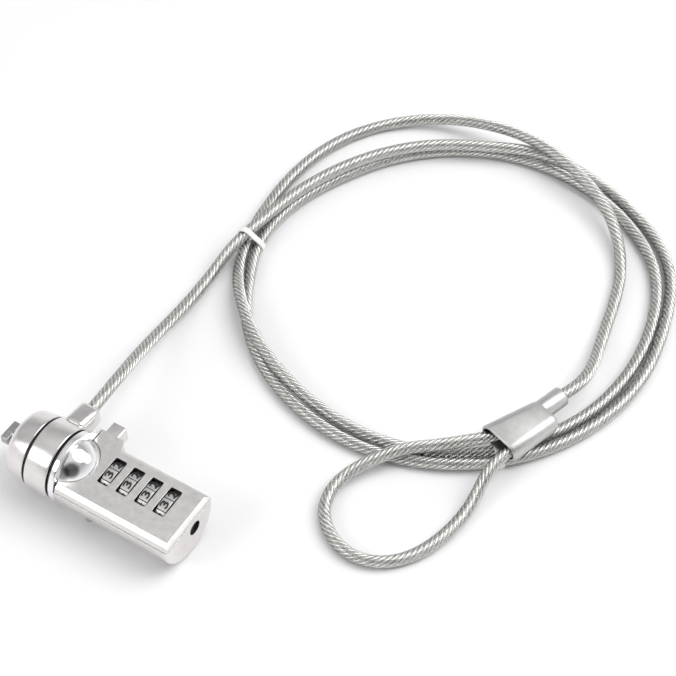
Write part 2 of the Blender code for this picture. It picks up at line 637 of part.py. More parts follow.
def bend_spaced(path, count):
    """Points of the path, closer where it bends more."""
    steps = np.diff(path, axis=0)
    lengths = np.linalg.norm(steps, axis=1)
    turns = np.linalg.norm(np.diff(steps / lengths[:, None], axis=0), axis=1)
    weight = lengths[1:] * 0.05 + np.sqrt(turns * lengths[1:]) * 0.45
    weight = np.convolve(weight, np.ones(25) / 25, "same") + 0.001
    done = np.concatenate(([0], np.cumsum(weight)))
    picks = np.interp(np.linspace(0, done[-1], count - 1), done, np.arange(len(done)))
    return np.array([path[round(pick)] for pick in picks] + [path[-1]])


def make_cable(points):
    tube("security_cable", [to_lock(p) for p in (CABLE_START, *points)], CABLE_R, "coated_cable", 2)


def make_crimp_sleeve():
    """A double-barrel sleeve: the wide end holds both cables, and a narrow collar grips the standing one."""
    along = Vector(SLEEVE_ALONG).normalized()
    across, up = Vector((-along.y, along.x, 0)), Vector((0, 0, 1))
    place = Matrix((across, up, along)).transposed().to_4x4()
    place.translation = to_lock(SLEEVE_AT)
    both = [(offset, 0) for offset in STRANDS]
    mouth = [(STRANDS[0] + SLEEVE_FLARE, 0), both[1]]
    total = SLEEVE_LONG + COLLAR_LONG
    outline, flared = around(both, SLEEVE_R), around(mouth, SLEEVE_R)
    sleeve = prism("crimp_sleeve", outline, 0, SLEEVE_LONG, place, "aluminium", flared)
    bevel(sleeve, 0.5, 2, 50)
    collar = prism("helper_collar", around(both[:1], COLLAR_R), 1, total, place)
    bevel(collar, 0.4, 2, 50)
    join(sleeve, collar)
    outline_pair, mouth_pair = (around(pair, SLEEVE_BORE + 0.1, 20) for pair in (both, mouth))
    cut(
        sleeve,
        prism("helper_strand_bore", around(both[:1], SLEEVE_BORE, 20), -1, total + 1, place),
        prism("helper_pair_bore", outline_pair, -1, SLEEVE_LONG - 2, place, start=mouth_pair),
    )


def make_tie(name, middle, along, points):
    """A thin band round the cables that cross its plane close by."""
    along = Vector(along).normalized()
    across, up = Vector((along.y, -along.x, 0)), Vector((0, 0, 1))
    place = Matrix((across, up, along)).transposed().to_4x4()
    place.translation = to_lock(middle)
    offsets = points - np.array(middle)
    ahead = offsets @ np.array(along)
    cables = []
    for i in np.flatnonzero(np.sign(ahead[1:]) != np.sign(ahead[:-1])):
        share = ahead[i] / (ahead[i] - ahead[i + 1])
        crossing = Vector(offsets[i] * (1 - share) + offsets[i + 1] * share)
        if crossing.length < 5:
            cables.append((crossing @ across, crossing.z))
    inner, outer = around(cables, CABLE_R + TIE_GAP), around(cables, CABLE_R + TIE_GAP + TIE_T)
    band = prism(name, outer, -TIE_WIDTH / 2, TIE_WIDTH / 2, place, "white_tie")
    cut(band, prism(f"helper_{name}_inner", inner, -TIE_WIDTH, TIE_WIDTH, place))


def main():
    clear_scene()
    add_frame()
    make_housing()
    make_cover()
    for i, place in enumerate(COVER_SCREWS):
        make_cover_screw(i, *place)
    make_nose_cap()
    make_washers()
    make_swivel_ring()
    make_t_bar()
    make_button()
    for i in range(DIAL_COUNT):
        make_dial(i)
    make_spindle()
    for name, span in PLATES.items():
        make_bearing_plate(name, *span)
    make_detent_comb()
    make_reset_screw()
    points = bend_spaced(smooth_path(ROUTE), ROUTE_SAMPLES)
    make_cable(points)
    make_crimp_sleeve()
    for name, (middle, along) in TIES.items():
        make_tie(name, middle, along, points)


main()
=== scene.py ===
"""The looks of the laptop cable lock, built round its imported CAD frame.

Lengths are metres, and MM turns millimetres into metres. The lock lies along X with its T-bar at -X, and
the pieces of its head share one axis along X. The places and main sizes are read from the frame. The sizes
written here are those of details that the frame does not give.
"""

import json

import bmesh
import bpy
import numpy as np
from mathutils import Matrix, Vector


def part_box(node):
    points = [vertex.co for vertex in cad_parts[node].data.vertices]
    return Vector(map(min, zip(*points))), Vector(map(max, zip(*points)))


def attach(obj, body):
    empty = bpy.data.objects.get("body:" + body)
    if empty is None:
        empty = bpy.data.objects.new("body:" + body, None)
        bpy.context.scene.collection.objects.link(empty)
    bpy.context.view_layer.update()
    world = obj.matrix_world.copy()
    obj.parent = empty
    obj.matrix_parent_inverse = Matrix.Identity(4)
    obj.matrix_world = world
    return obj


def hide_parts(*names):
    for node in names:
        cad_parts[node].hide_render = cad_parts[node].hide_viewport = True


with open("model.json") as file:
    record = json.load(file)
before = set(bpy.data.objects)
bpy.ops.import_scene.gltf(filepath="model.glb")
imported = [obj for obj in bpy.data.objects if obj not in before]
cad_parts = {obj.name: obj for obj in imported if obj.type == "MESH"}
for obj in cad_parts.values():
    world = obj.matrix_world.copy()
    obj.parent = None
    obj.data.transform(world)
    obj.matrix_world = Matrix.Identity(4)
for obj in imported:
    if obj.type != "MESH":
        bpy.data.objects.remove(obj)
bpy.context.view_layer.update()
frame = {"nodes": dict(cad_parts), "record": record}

MM = 0.001

CAMERA_AT, CAMERA_TO = (0.2076, -0.2104, 0.4248), (0.0296, 0.0744, 0.0110)
LENS = 97.4  # in millimetres, on a sensor 36 mm wide


def span(node, axis):
    low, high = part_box(node)
    return low[axis], high[axis]


def middle(node, axis):
    return sum(span(node, axis)) / 2


def half_size(node, axis):
    low, high = span(node, axis)
    return (high - low) / 2


# The head and its axis
AXIS_Y, AXIS_Z = middle("t_bar", 1), middle("t_bar", 2)
HEAD_R = half_size("swivel_ring", 2)
HEAD_BORE_R = 6.3 * MM
SPIGOT_R = 6 * MM
STEM_R = 1.5 * MM
STEM_HOLE_R = 1.8 * MM
PIN_HOLE_R = 1.1 * MM

# The body, from the rim to the end face
RIM_FRONT = span("rear_washer", 0)[1] + 0.2 * MM
RIM_BACK = RIM_FRONT + 1.85 * MM
BODY_END = span("housing", 0)[1]
BODY_R = HEAD_R - 0.4 * MM
END_WALL = 2 * MM
DOME_R = 9.1 * MM
SCREWS = ("cover_screw_1", "cover_screw_2", "cover_screw_3")

# The cover, which stands over a seam of twice SEAM_GAP
SEAM_GAP = 0.15 * MM
SEAM_Z = span("top_cover", 2)[0] - SEAM_GAP
DECK_Z = span("top_cover", 2)[1]
DECK_HALF = 8.7 * MM
DECK_THICK = 1.2 * MM
HOLLOW_HALF = 9 * MM

# The dials, their windows and their digits
DIALS = ("dial_1", "dial_2", "dial_3", "dial_4")
DIAL_Y, DIAL_Z = middle("dial_1", 1), middle("dial_1", 2)
DIAL_R = half_size("dial_1", 2)
DIAL_STEP = 36  # degrees from one digit to the next
DIAL_START = 11  # degrees from the apex towards the near side, where the first digit sits
SHOWN = (3, 3, 3, 3)  # each dial's first digit
DIAL_EXTRA = 0.12 * MM  # what a dial has at each side over its CAD node
DIGIT_DEEP = 0.12 * MM
DIGIT_WIDEN = 1.5
WINDOW_X, WINDOW_Y, WINDOW_MIDDLE_Y = 3.8 * MM, 9.3 * MM, DIAL_Y - 0.1 * MM

CABLE_R = 1.8 * MM
TIE_REACH = 5 * MM  # how far from its middle a tie takes in a cable


# Modelling


def add(name, mesh, body=None, finish=None, stands_for=()):
    obj = bpy.data.objects.new(name, mesh)
    bpy.context.scene.collection.objects.link(obj)
    if finish:
        obj.data.materials.append(finish)
    if body:
        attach(obj, body)
        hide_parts(*stands_for)
    return obj


def mesh_of(name, bm, smooth=32):
    bmesh.ops.recalc_face_normals(bm, faces=bm.faces)
    mesh = bpy.data.meshes.new(name)
    bm.to_mesh(mesh)
    bm.free()
    mesh.shade_smooth()
    mesh.set_sharp_from_angle(angle=np.radians(smooth))
    return mesh


def turned(profile, y=AXIS_Y, z=AXIS_Z, steps=160):
    """A profile of (x, radius) points turned about the X direction through (y, z)."""
    bm = bmesh.new()
    turns = np.linspace(0, 2 * np.pi, steps, endpoint=False)
    rings = []
    for x, radius in profile:
        if radius == 0:
            rings.append([bm.verts.new((x, y, z))] * steps)
        else:
            rings.append([bm.verts.new((x, y + radius * np.cos(t), z + radius * np.sin(t))) for t in turns])
    pairs = list(zip(rings, rings[1:]))
    if profile[0][1] > 0:
        pairs.append((rings[-1], rings[0]))
    for ring, following in pairs:
        for i in range(steps):
            j = (i + 1) % steps
            bm.faces.new(list(dict.fromkeys((ring[i], ring[j], following[j], following[i]))))
    return mesh_of("turned", bm)


def prism(outline, low, high, place=Matrix.Identity(4)):
    """An outline in the first two axes of place extruded along its third."""
    bm = bmesh.new()
    ends = [[bm.verts.new(place @ Vector((a, b, level))) for a, b in outline] for level in (low, high)]
    bm.faces.new(ends[0])
    bm.faces.new(ends[1])
    for i in range(len(outline)):
        j = (i + 1) % len(outline)
        bm.faces.new((ends[0][i], ends[0][j], ends[1][j], ends[1][i]))
    return mesh_of("prism", bm)


# Places for a prism: ALONG_X takes an outline in Y and Z, and ALONG_Y takes one in X and Z.
ALONG_X = Matrix(((0, 0, 1, 0), (1, 0, 0, 0), (0, 1, 0, 0), (0, 0, 0, 1)))
ALONG_Y = Matrix(((1, 0, 0, 0), (0, 0, 1, 0), (0, 1, 0, 0), (0, 0, 0, 1)))


def block(x, y, z):
    return prism(((x[0], y[0]), (x[1], y[0]), (x[1], y[1]), (x[0], y[1])), *z)


def rounded(centre, size, radius, steps=8):
    """A rectangle with round corners."""
    points = []
    for corner, (sx, sy) in enumerate(((1, 1), (-1, 1), (-1, -1), (1, -1))):
        x = centre[0] + sx * (size[0] / 2 - radius)
        y = centre[1] + sy * (size[1] / 2 - radius)
        for t in np.linspace(0, np.pi / 2, steps) + corner * np.pi / 2:
            points.append((x + radius * np.cos(t), y + radius * np.sin(t)))
    return points


def fillet(corner, before, after, radius, steps=6):
    """Points that round a profile's corner between its neighbours."""
    corner, before, after = Vector(corner), Vector(before), Vector(after)
    a, b = (before - corner).normalized(), (after - corner).normalized()
    half = a.angle(b) / 2
    reach = radius / np.tan(half)
    centre = corner + (a + b).normalized() * radius / np.sin(half)
    start, end = corner + a * reach - centre, corner + b * reach - centre
    turn = start.angle_signed(end)
    return [tuple(centre + Matrix.Rotation(-turn * i / steps, 2) @ start) for i in range(steps + 1)]


def filleted(points, radii, closed=True, steps=6):
    """A profile with each corner rounded by its radius. An open profile keeps its ends."""
    out = []
    for i, (point, radius) in enumerate(zip(points, radii)):
        if radius == 0 or (not closed and i in (0, len(points) - 1)):
            out.append(tuple(point))
        else:
            out += fillet(point, points[i - 1], points[(i + 1) % len(points)], radius, steps)
    return out


def helper(mesh):
    """An object that is only there while a modifier or a curve is worked out."""
    obj = bpy.data.objects.new("helper", mesh)
    bpy.context.scene.collection.objects.link(obj)
    obj.hide_render = True
    return obj


def carved(mesh, *steps, smooth=32):
    """The mesh after a list of Boolean steps, each (operation, other mesh)."""
    obj = helper(mesh)
    others = []
    for operation, other in steps:
        others.append(helper(other))
        modifier = obj.modifiers.new(operation, "BOOLEAN")
        modifier.operation, modifier.solver, modifier.object = operation, "EXACT", others[-1]
    graph = bpy.context.evaluated_depsgraph_get()
    made = bpy.data.meshes.new_from_object(obj.evaluated_get(graph))
    for used in (obj, *others):
        bpy.data.objects.remove(used)
    made.shade_smooth()
    made.set_sharp_from_angle(angle=np.radians(smooth))
    return made


def bevelled(mesh, width, segments=4, angle=30):
    obj = helper(mesh)
    modifier = obj.modifiers.new("bevel", "BEVEL")
    modifier.width, modifier.segments = width, segments
    modifier.limit_method, modifier.angle_limit = "ANGLE", np.radians(angle)
    graph = bpy.context.evaluated_depsgraph_get()
    made = bpy.data.meshes.new_from_object(obj.evaluated_get(graph))
    bpy.data.objects.remove(obj)
    made.shade_smooth()
    made.set_sharp_from_angle(angle=np.radians(40))
    return made


def give_faces(obj, finish, test):
    """Faces whose centre passes the test get another finish."""
    obj.data.materials.append(finish)
    index = len(obj.data.materials) - 1
    for face in obj.data.polygons:
        if test(face.center):
            face.material_index = index


# Materials


class Finish:
    """A Principled material whose look comes from noise at real scales."""

    def __init__(self, name, **uniform):
        self.material = bpy.data.materials.new(name)
        self.material.use_nodes = True
        self.tree = self.material.node_tree
        self.shader = self.tree.nodes["Principled BSDF"]
        self.place = self.node("ShaderNodeTexCoord").outputs["Object"]
        self.normal = None
        for key, value in uniform.items():
            self.shader.inputs[key.replace("_", " ")].default_value = value

    def node(self, kind, **values):
        made = self.tree.nodes.new(kind)
        for key, value in values.items():
            setattr(made, key, value)
        return made

    def link(self, source, target):
        self.tree.links.new(source, target)

    def noise(self, size, stretch=(1, 1, 1), detail=4, roughness=0.55):
        """Noise whose features are about size metres, drawn out by stretch along each axis."""
        mapping = self.node("ShaderNodeMapping")
        mapping.inputs["Scale"].default_value = [1 / (size * s) for s in stretch]
        self.link(self.place, mapping.inputs["Vector"])
        made = self.node("ShaderNodeTexNoise")
        made.inputs["Scale"].default_value = 1
        made.inputs["Detail"].default_value = detail
        made.inputs["Roughness"].default_value = roughness
        self.link(mapping.outputs["Vector"], made.inputs["Vector"])
        return made.outputs["Fac"]

    def ramp(self, source, stops):
        made = self.node("ShaderNodeValToRGB")
        ramp = made.color_ramp
        while len(ramp.elements) < len(stops):
            ramp.elements.new(0.5)
        for element, (position, colour) in zip(ramp.elements, stops):
            element.position = position
            element.color = (*colour, 1) if hasattr(colour, "__len__") else (colour, colour, colour, 1)
        self.link(source, made.inputs["Fac"])
        return made.outputs["Color"]

    def colour(self, source, stops):
        self.link(self.ramp(source, stops), self.shader.inputs["Base Color"])

    def rough(self, source, low, high):
        self.link(self.ramp(source, ((0.3, low), (0.7, high))), self.shader.inputs["Roughness"])

    def bump(self, source, depth, strength=1.0):
        made = self.node("ShaderNodeBump")
        made.inputs["Strength"].default_value = strength
        made.inputs["Distance"].default_value = depth
        self.link(source, made.inputs["Height"])
        if self.normal:
            self.link(self.normal, made.inputs["Normal"])
        self.normal = made.outputs["Normal"]
        self.link(self.normal, self.shader.inputs["Normal"])

    def soft_edges(self, radius):
        made = self.node("ShaderNodeBevel", samples=6)
        made.inputs["Radius"].default_value = radius
        self.normal = made.outputs["Normal"]
        self.link(self.normal, self.shader.inputs["Normal"])


def satin_zinc(name, tint, low, high, edge=0.18 * MM, mottle=1.0):
    """Cast zinc under a satin plating: faint mottling, fine orange peel and a few rubbed patches."""
    finish = Finish(name, Metallic=1.0)
    darker = [c * (1 - 0.07 * mottle) for c in tint]
    finish.colour(finish.noise(2.2 * MM, detail=6), ((0.35, darker), (0.65, tint)))
    finish.rough(finish.noise(1.1 * MM, detail=7, roughness=0.65), low, high)
    finish.soft_edges(edge)
    finish.bump(finish.noise(0.4 * MM, detail=4), 0.002 * MM * mottle)
    finish.bump(finish.noise(3.0 * MM, detail=2), 0.016 * MM * mottle)
    return finish.material


def polished_zinc(name, tint, low, high):
    finish = Finish(name, Metallic=1.0)
    finish.colour(finish.noise(4 * MM), ((0.35, [c * 0.96 for c in tint]), (0.65, tint)))
    finish.rough(finish.noise(1.5 * MM, detail=6), low, high)
    finish.soft_edges(0.12 * MM)
    finish.bump(finish.noise(2.2 * MM, detail=2), 0.006 * MM)
    return finish.material


def steel(name, tint, low, high, stretch=(6, 1, 1)):
    """Machined steel, with fine marks drawn out along one axis."""
    finish = Finish(name, Metallic=1.0)
    finish.colour(finish.noise(1.5 * MM, detail=5), ((0.3, [c * 0.88 for c in tint]), (0.7, tint)))
    finish.rough(finish.noise(0.25 * MM, stretch, detail=5), low, high)
    finish.soft_edges(0.08 * MM)
    finish.bump(finish.noise(0.12 * MM, stretch, detail=4), 0.003 * MM)
    return finish.material


def plastic(name, light, dark, low, high, grain, depth, **uniform):
    finish = Finish(name, **uniform)
    finish.colour(finish.noise(1.8 * MM, detail=5), ((0.3, dark), (0.7, light)))
    finish.rough(finish.noise(0.8 * MM, detail=5), low, high)
    finish.bump(finish.noise(grain, detail=4), depth)
    return finish.material


ZINC = satin_zinc("satin_zinc", (0.80, 0.77, 0.765), 0.17, 0.27)
DECK = satin_zinc("satin_deck", (0.80, 0.785, 0.765), 0.27, 0.40, mottle=1.5)
CHROME = polished_zinc("polished_zinc", (0.90, 0.90, 0.91), 0.05, 0.10)
DIAL_METAL = satin_zinc("dial_metal", (0.62, 0.61, 0.60), 0.36, 0.5, edge=0.06 * MM)
STEEL = steel("steel", (0.46, 0.46, 0.47), 0.22, 0.38)
DARK_STEEL = steel("dark_steel", (0.07, 0.07, 0.075), 0.35, 0.5)
BRASS = steel("brass", (0.78, 0.60, 0.32), 0.25, 0.40)
ALUMINIUM = steel("aluminium", (0.58, 0.58, 0.57), 0.34, 0.50, (3, 3, 3))
WIRE = steel("wire_strand", (0.78, 0.78, 0.76), 0.16, 0.30, (2, 2, 2))
# Black nylon for the washers. On the dial windows' walls, the cover's hollow, the reset hole's wall and the
# dials' sides the same black is painted shade.
BLACK = plastic("black_nylon", (0.03, 0.03, 0.032), (0.012, 0.012, 0.013), 0.35, 0.55, 0.3 * MM, 0.01 * MM)
INK = plastic("digit_ink", (0.02, 0.02, 0.022), (0.01, 0.01, 0.01), 0.4, 0.6, 0.2 * MM, 0.004 * MM)
TIE = plastic("white_tie", (0.88, 0.88, 0.86), (0.80, 0.80, 0.78), 0.35, 0.5, 0.4 * MM, 0.012 * MM)
CLEAR = plastic(
    "clear_coat",
    (0.97, 0.98, 0.96),
    (0.93, 0.94, 0.92),
    0.03,
    0.12,
    1.2 * MM,
    0.008 * MM,
    Transmission_Weight=1.0,
    IOR=1.5,
)

FINISH_OF_SLOT = {
    "satin_zinc": ZINC,
    "polished_zinc": DIAL_METAL,
    "steel": STEEL,
    "brass": BRASS,
    "black_nylon": BLACK,
    "coated_cable": CLEAR,
    "aluminium": ALUMINIUM,
    "white_tie": TIE,
}


# Camera and stage


def make_camera():
    camera = bpy.data.objects.new("camera", bpy.data.cameras.new("camera"))
    bpy.context.scene.collection.objects.link(camera)
    camera.location = CAMERA_AT
    camera.rotation_euler = (Vector(CAMERA_TO) - camera.location).to_track_quat("-Z", "Y").to_euler()
    camera.data.lens, camera.data.sensor_width = LENS, 36
    camera.data.clip_start = 0.01
    bpy.context.scene.camera = camera


def area_light(name, at, aim, size, power):
    light = bpy.data.lights.new(name, "AREA")
    light.shape, light.size, light.size_y = "ELLIPSE", *size
    light.energy = power
    obj = bpy.data.objects.new(name, light)
    bpy.context.scene.collection.objects.link(obj)
    obj.location = at
    obj.rotation_euler = (Vector(aim) - Vector(at)).to_track_quat("-Z", "Y").to_euler()


# The dark patches of the room. Each has a direction, the cosines of the angles from it at which the dark
# starts and is full, and the grey there.
DARK_PATCHES = (((0.50, -0.60, 0.62), 0.84, 0.94, 0.2), ((0.05, -0.90, 0.42), 0.86, 0.95, 0.35))
SKY = ((0.05, 1.0), (0.62, 0.42), (1.0, 0.8))  # the room's grey at each height above the horizon


def make_world():
    """A pale room, brightest at the horizon and greyer higher up, with dark patches near the camera."""
    world = bpy.data.worlds.new("studio")
    bpy.context.scene.world = world
    world.use_nodes = True
    nodes, links = world.node_tree.nodes, world.node_tree.links
    place, split = nodes.new("ShaderNodeTexCoord"), nodes.new("ShaderNodeSeparateXYZ")
    ramp = nodes.new("ShaderNodeValToRGB")
    ramp.color_ramp.elements.new(0.5)
    for element, (height, grey) in zip(ramp.color_ramp.elements, SKY):
        element.position, element.color = height, (grey, grey, grey * 1.01, 1)
    links.new(place.outputs["Generated"], split.inputs["Vector"])
    links.new(split.outputs["Z"], ramp.inputs["Fac"])
    colour = ramp.outputs["Color"]
    for at, far, near, grey in DARK_PATCHES:
        towards, both = nodes.new("ShaderNodeVectorMath"), nodes.new("ShaderNodeVectorMath")
        towards.operation, both.operation = "DOT_PRODUCT", "MULTIPLY"
        towards.inputs[1].default_value = Vector(at).normalized()
        shade = nodes.new("ShaderNodeValToRGB")
        for element, (nearness, tone) in zip(shade.color_ramp.elements, ((far, 1.0), (near, grey))):
            element.position, element.color = nearness, (tone, tone, tone, 1)
        links.new(place.outputs["Generated"], towards.inputs[0])
        links.new(towards.outputs["Value"], shade.inputs["Fac"])
        links.new(colour, both.inputs[0])
        links.new(shade.outputs["Color"], both.inputs[1])
        colour = both.outputs["Vector"]
    links.new(colour, nodes["Background"].inputs["Color"])
    nodes["Background"].inputs["Strength"].default_value = 1.05


def make_stage():
    floor = Finish("floor", Roughness=0.9)
    floor.colour(floor.noise(0.4), ((0.3, 0.93), (0.7, 0.95)))
    bm = bmesh.new()
    bmesh.ops.create_grid(bm, x_segments=1, y_segments=1, size=3)
    plane = add("floor", mesh_of("floor", bm), finish=floor.material)
    plane.location.z = -0.05 * MM
    make_world()
    area_light("key", (-0.35, -0.55, 0.5), (0.0, 0.0, 0), (0.42, 0.42), 1.6)
    area_light("fill", (0.55, 0.45, 0.5), (0.03, 0.08, 0), (0.5, 0.5), 1.2)
    area_light("top", (0.33, 0.32, 0.75), (0.03, 0.08, 0), (0.75, 0.75), 3.4)
    bpy.context.scene.view_settings.view_transform = "Standard"


# Cable

# Where the cable lies, in millimetres: straight out of the boss to the first point, then round the coil,
# over it and through the sleeve, round the small loop and back into the sleeve. These are the CAD part's own
# points.
CABLE_START = (-13.4, 5.9, 15)
ROUTE = (
    (-13.4, 14.2, 15), (-14.3, 24, 13.9), (-17.7, 42.5, 8), (-20.1, 71.9, 1.9), (-20.4, 82, 2.2),
    (-19.8, 91.7, 4.9), (-18.2, 101.5, 6.2), (-17.1, 111.5, 5.7), (-11.9, 131, 5.7), (11.8, 163, 5.7),
    (29.4, 172.8, 5.6), (38.7, 176.8, 5.4), (58.2, 179.3, 2.3), (77.8, 172.9, 1.9), (94.4, 161.4, 1.9),
    (106.7, 133.9, 1.9), (109.1, 113.9, 1.9), (96.5, 76.2, 2.2), (82.4, 61.8, 2.6), (64.4, 52.9, 1.9),
    (54.6, 50.6, 1.9), (-0.1, 70.9, 1.9), (-10.6, 88.1, 2), (-14.3, 97.5, 2.7), (-15.4, 117.5, 1.9),
    (-9, 136.6, 1.9), (1.5, 153.8, 1.9), (35, 175, 1.9), (83.2, 164.7, 1.9), (90.9, 158.2, 1.9),
    (103.5, 131, 1.9), (103.4, 101, 1.9), (90.1, 74.1, 2.6), (65.3, 57.3, 1.9), (45.4, 54.6, 2.1),
    (7.1, 65.2, 5.6), (-8.1, 78.4, 4.6), (-13.8, 86.4, 2.7), (-17.7, 95.7, 2.7), (-21.7, 115.4, 1.9),
    (-19.7, 145.5, 1.9), (-10.5, 163.3, 2), (5.4, 175.2, 3.8), (24.8, 179, 7.2), (34.9, 178.8, 8.5),
    (54.5, 174.3, 8.7), (72.2, 165.5, 5.7), (84.6, 150.2, 2), (90.6, 131, 1.9), (92.8, 121.2, 2.5),
    (95, 111.4, 4.3), (95.8, 98, 7.9), (93.7, 91.1, 8.3), (90.1, 79.9, 8.3), (87.8, 75.1, 8.3),
    (85.1, 70.8, 8.3), (83.1, 68.3, 8.2), (78.4, 64.2, 7.7), (70.9, 58.5, 6.7), (63.4, 52.8, 5.7),
    (58.9, 46.9, 4.9), (53.9, 38.4, 2.8), (54.1, 28.6, 1.9), (69.9, 18.3, 1.9), (79, 22.1, 1.9),
    (87.7, 39.9, 1.9), (88.6, 49.8, 2.8), (88.7, 59.3, 6.9), (90, 65.8, 8.4), (91.6, 70.8, 8.3),
    (94, 78.4, 8.3),
)


def smooth_path(points, step):
    """A natural cubic spline through the points, by chord length, read every step metres."""
    points = np.array(points, float)
    knots = np.concatenate(([0], np.cumsum(np.linalg.norm(np.diff(points, axis=0), axis=1))))
    gaps, last = np.diff(knots)[:, None], len(points) - 1
    system, right = np.eye(last + 1), np.zeros_like(points)
    slopes = np.diff(points, axis=0) / gaps
    for i in range(1, last):
        system[i, i - 1 : i + 2] = gaps[i - 1, 0], 2 * (gaps[i - 1, 0] + gaps[i, 0]), gaps[i, 0]
        right[i] = 6 * (slopes[i] - slopes[i - 1])
    bends = np.linalg.solve(system, right)
    at = np.linspace(0, knots[-1], int(knots[-1] / step))
    i = np.clip(np.searchsorted(knots, at) - 1, 0, last - 1)
    after, before = (at - knots[i])[:, None], (knots[i + 1] - at)[:, None]
    path = (bends[i] * before**3 + bends[i + 1] * after**3) / (6 * gaps[i])
    path += (points[i] / gaps[i] - bends[i] * gaps[i] / 6) * before
    path += (points[i + 1] / gaps[i] - bends[i + 1] * gaps[i] / 6) * after
    path[:, 2] = np.maximum(path[:, 2], CABLE_R + 0.1 * MM)
    return path


def frames_along(path):
    """Two directions across the path at each point, which turn no more than the path itself does."""
    ahead = np.gradient(path, axis=0)
    ahead /= np.linalg.norm(ahead, axis=1)[:, None]
    side = np.cross(ahead[0], (0, 0, 1))
    sides = []
    for direction in ahead:
        side = side - direction * (side @ direction)
        side /= np.linalg.norm(side)
        sides.append(side)
    sides = np.array(sides)
    return sides, np.cross(ahead, sides)


def ring_tube(rings):
    """A closed tube through rings of points, with flat ends."""
    rings = np.array(rings)
    count, sides = rings.shape[:2]
    i, j = np.arange(sides), (np.arange(sides) + 1) % sides
    starts = np.arange(count - 1)[:, None] * sides
    faces = np.stack((starts + i, starts + j, starts + sides + j, starts + sides + i), -1).reshape(-1, 4)
    faces = [*faces.tolist(), i.tolist(), (i + sides * (count - 1)).tolist()]
    mesh = bpy.data.meshes.new("tube")
    mesh.from_pydata(rings.reshape(-1, 3), [], faces)
    bm = bmesh.new()
    bm.from_mesh(mesh)
    bpy.data.meshes.remove(mesh)
    return mesh_of("tube", bm, 60)


def strand_mesh(path, across, up, distance, turn, phase, radius, pitch, wires, sides=12):
    """One strand of the rope: its centre winds round the path, and its wires wind round its centre."""
    length = np.concatenate(([0], np.cumsum(np.linalg.norm(np.diff(path, axis=0), axis=1))))
    wind = 2 * np.pi * length / turn + phase
    out = across * np.cos(wind)[:, None] + up * np.sin(wind)[:, None]
    centres = path + distance * out
    ahead = np.gradient(centres, axis=0)
    ahead /= np.linalg.norm(ahead, axis=1)[:, None]
    first = out - ahead * (out * ahead).sum(1)[:, None]
    first /= np.linalg.norm(first, axis=1)[:, None]
    second = np.cross(ahead, first)
    angles = np.linspace(0, 2 * np.pi, sides, endpoint=False)
    lobes = np.abs(np.cos(wires / 2 * (angles[None] - 2 * np.pi * length[:, None] / pitch)))
    reach = radius * (0.86 + 0.14 * lobes)
    rings = (
        centres[:, None]
        + (reach * np.cos(angles))[..., None] * first[:, None]
        + (reach * np.sin(angles))[..., None] * second[:, None]
    )
    return ring_tube(rings)


def make_cable():
    """A clear jacket over six strands laid round a core."""
    start = Vector(CABLE_START) * MM
    route = np.array(ROUTE) * MM
    step = 0.55 * MM
    curve = smooth_path(route, step)
    lead = np.linspace(start, curve[0], int((curve[0][1] - start.y) / step), endpoint=False)
    path = np.concatenate((lead, curve))
    across, up = frames_along(path)
    angles = np.linspace(0, 2 * np.pi, 20, endpoint=False)
    every = slice(None, None, 2)
    rings = (
        path[every][:, None]
        + CABLE_R * np.cos(angles)[None, :, None] * across[every][:, None]
        + CABLE_R * np.sin(angles)[None, :, None] * up[every][:, None]
    )
    jacket = add("cable_jacket", ring_tube(rings), "swivel", CLEAR, ["security_cable"])
    strands = []
    for i in range(6):
        mesh = strand_mesh(path, across, up, 0.88 * MM, -11.5 * MM, i * np.pi / 3, 0.47 * MM, 3.2 * MM, 6)
        strands.append(add(f"cable_strand_{i + 1}", mesh, "swivel", WIRE))
    core = strand_mesh(path[every], across[every], up[every], 0, 11.5 * MM, 0, 0.42 * MM, 3.2 * MM, 6)
    strands.append(add("cable_core", core, "swivel", WIRE))
    length = np.linalg.norm(np.diff(path, axis=0), axis=1).sum()
    return jacket, strands, path, length


# Head


def rod(low, high, radius):
    """The profile of a solid round rod."""
    return [(low, 0), (low, radius), (high, radius), (high, 0)]


def pin_hole(top):
    """The hole for the nose pin, from below up to top."""
    pin = (middle("nose_pin", 0), middle("nose_pin", 1))
    return prism(around([pin], PIN_HOLE_R, 40), -MM, top)


def make_nose():
    front, back = span("nose_cap", 0)
    wall_back = front + 2.4 * MM
    outside = [(front, STEM_HOLE_R), (front, HEAD_R - 1.2 * MM)]
    outside += [(back, HEAD_R - 0.3 * MM), (back, HEAD_BORE_R)]
    profile = filleted(outside, (0.2 * MM, 2.7 * MM, 0.25 * MM, 0), steps=12)
    profile += [(wall_back, HEAD_BORE_R), (wall_back, STEM_HOLE_R)]
    holes = [("DIFFERENCE", pin_hole(AXIS_Z - 5 * MM))]
    for pin in ("guide_pin_upper", "guide_pin_lower"):
        hole = turned(rod(front - MM, front + 3 * MM, 0.7 * MM), middle(pin, 1), middle(pin, 2), 24)
        holes.append(("DIFFERENCE", hole))
    add("nose_shell", carved(turned(profile), *holes), "housing", ZINC, ["nose_cap"])


def make_washer(node, name):
    low, high = span(node, 0)
    outside, edge = HEAD_R - 0.65 * MM, 0.12 * MM
    outline = [(low, HEAD_BORE_R), (low, outside), (high, outside), (high, HEAD_BORE_R)]
    profile = filleted(outline, (0, edge, edge, 0))
    add(name, turned(profile), "housing", BLACK, [node])


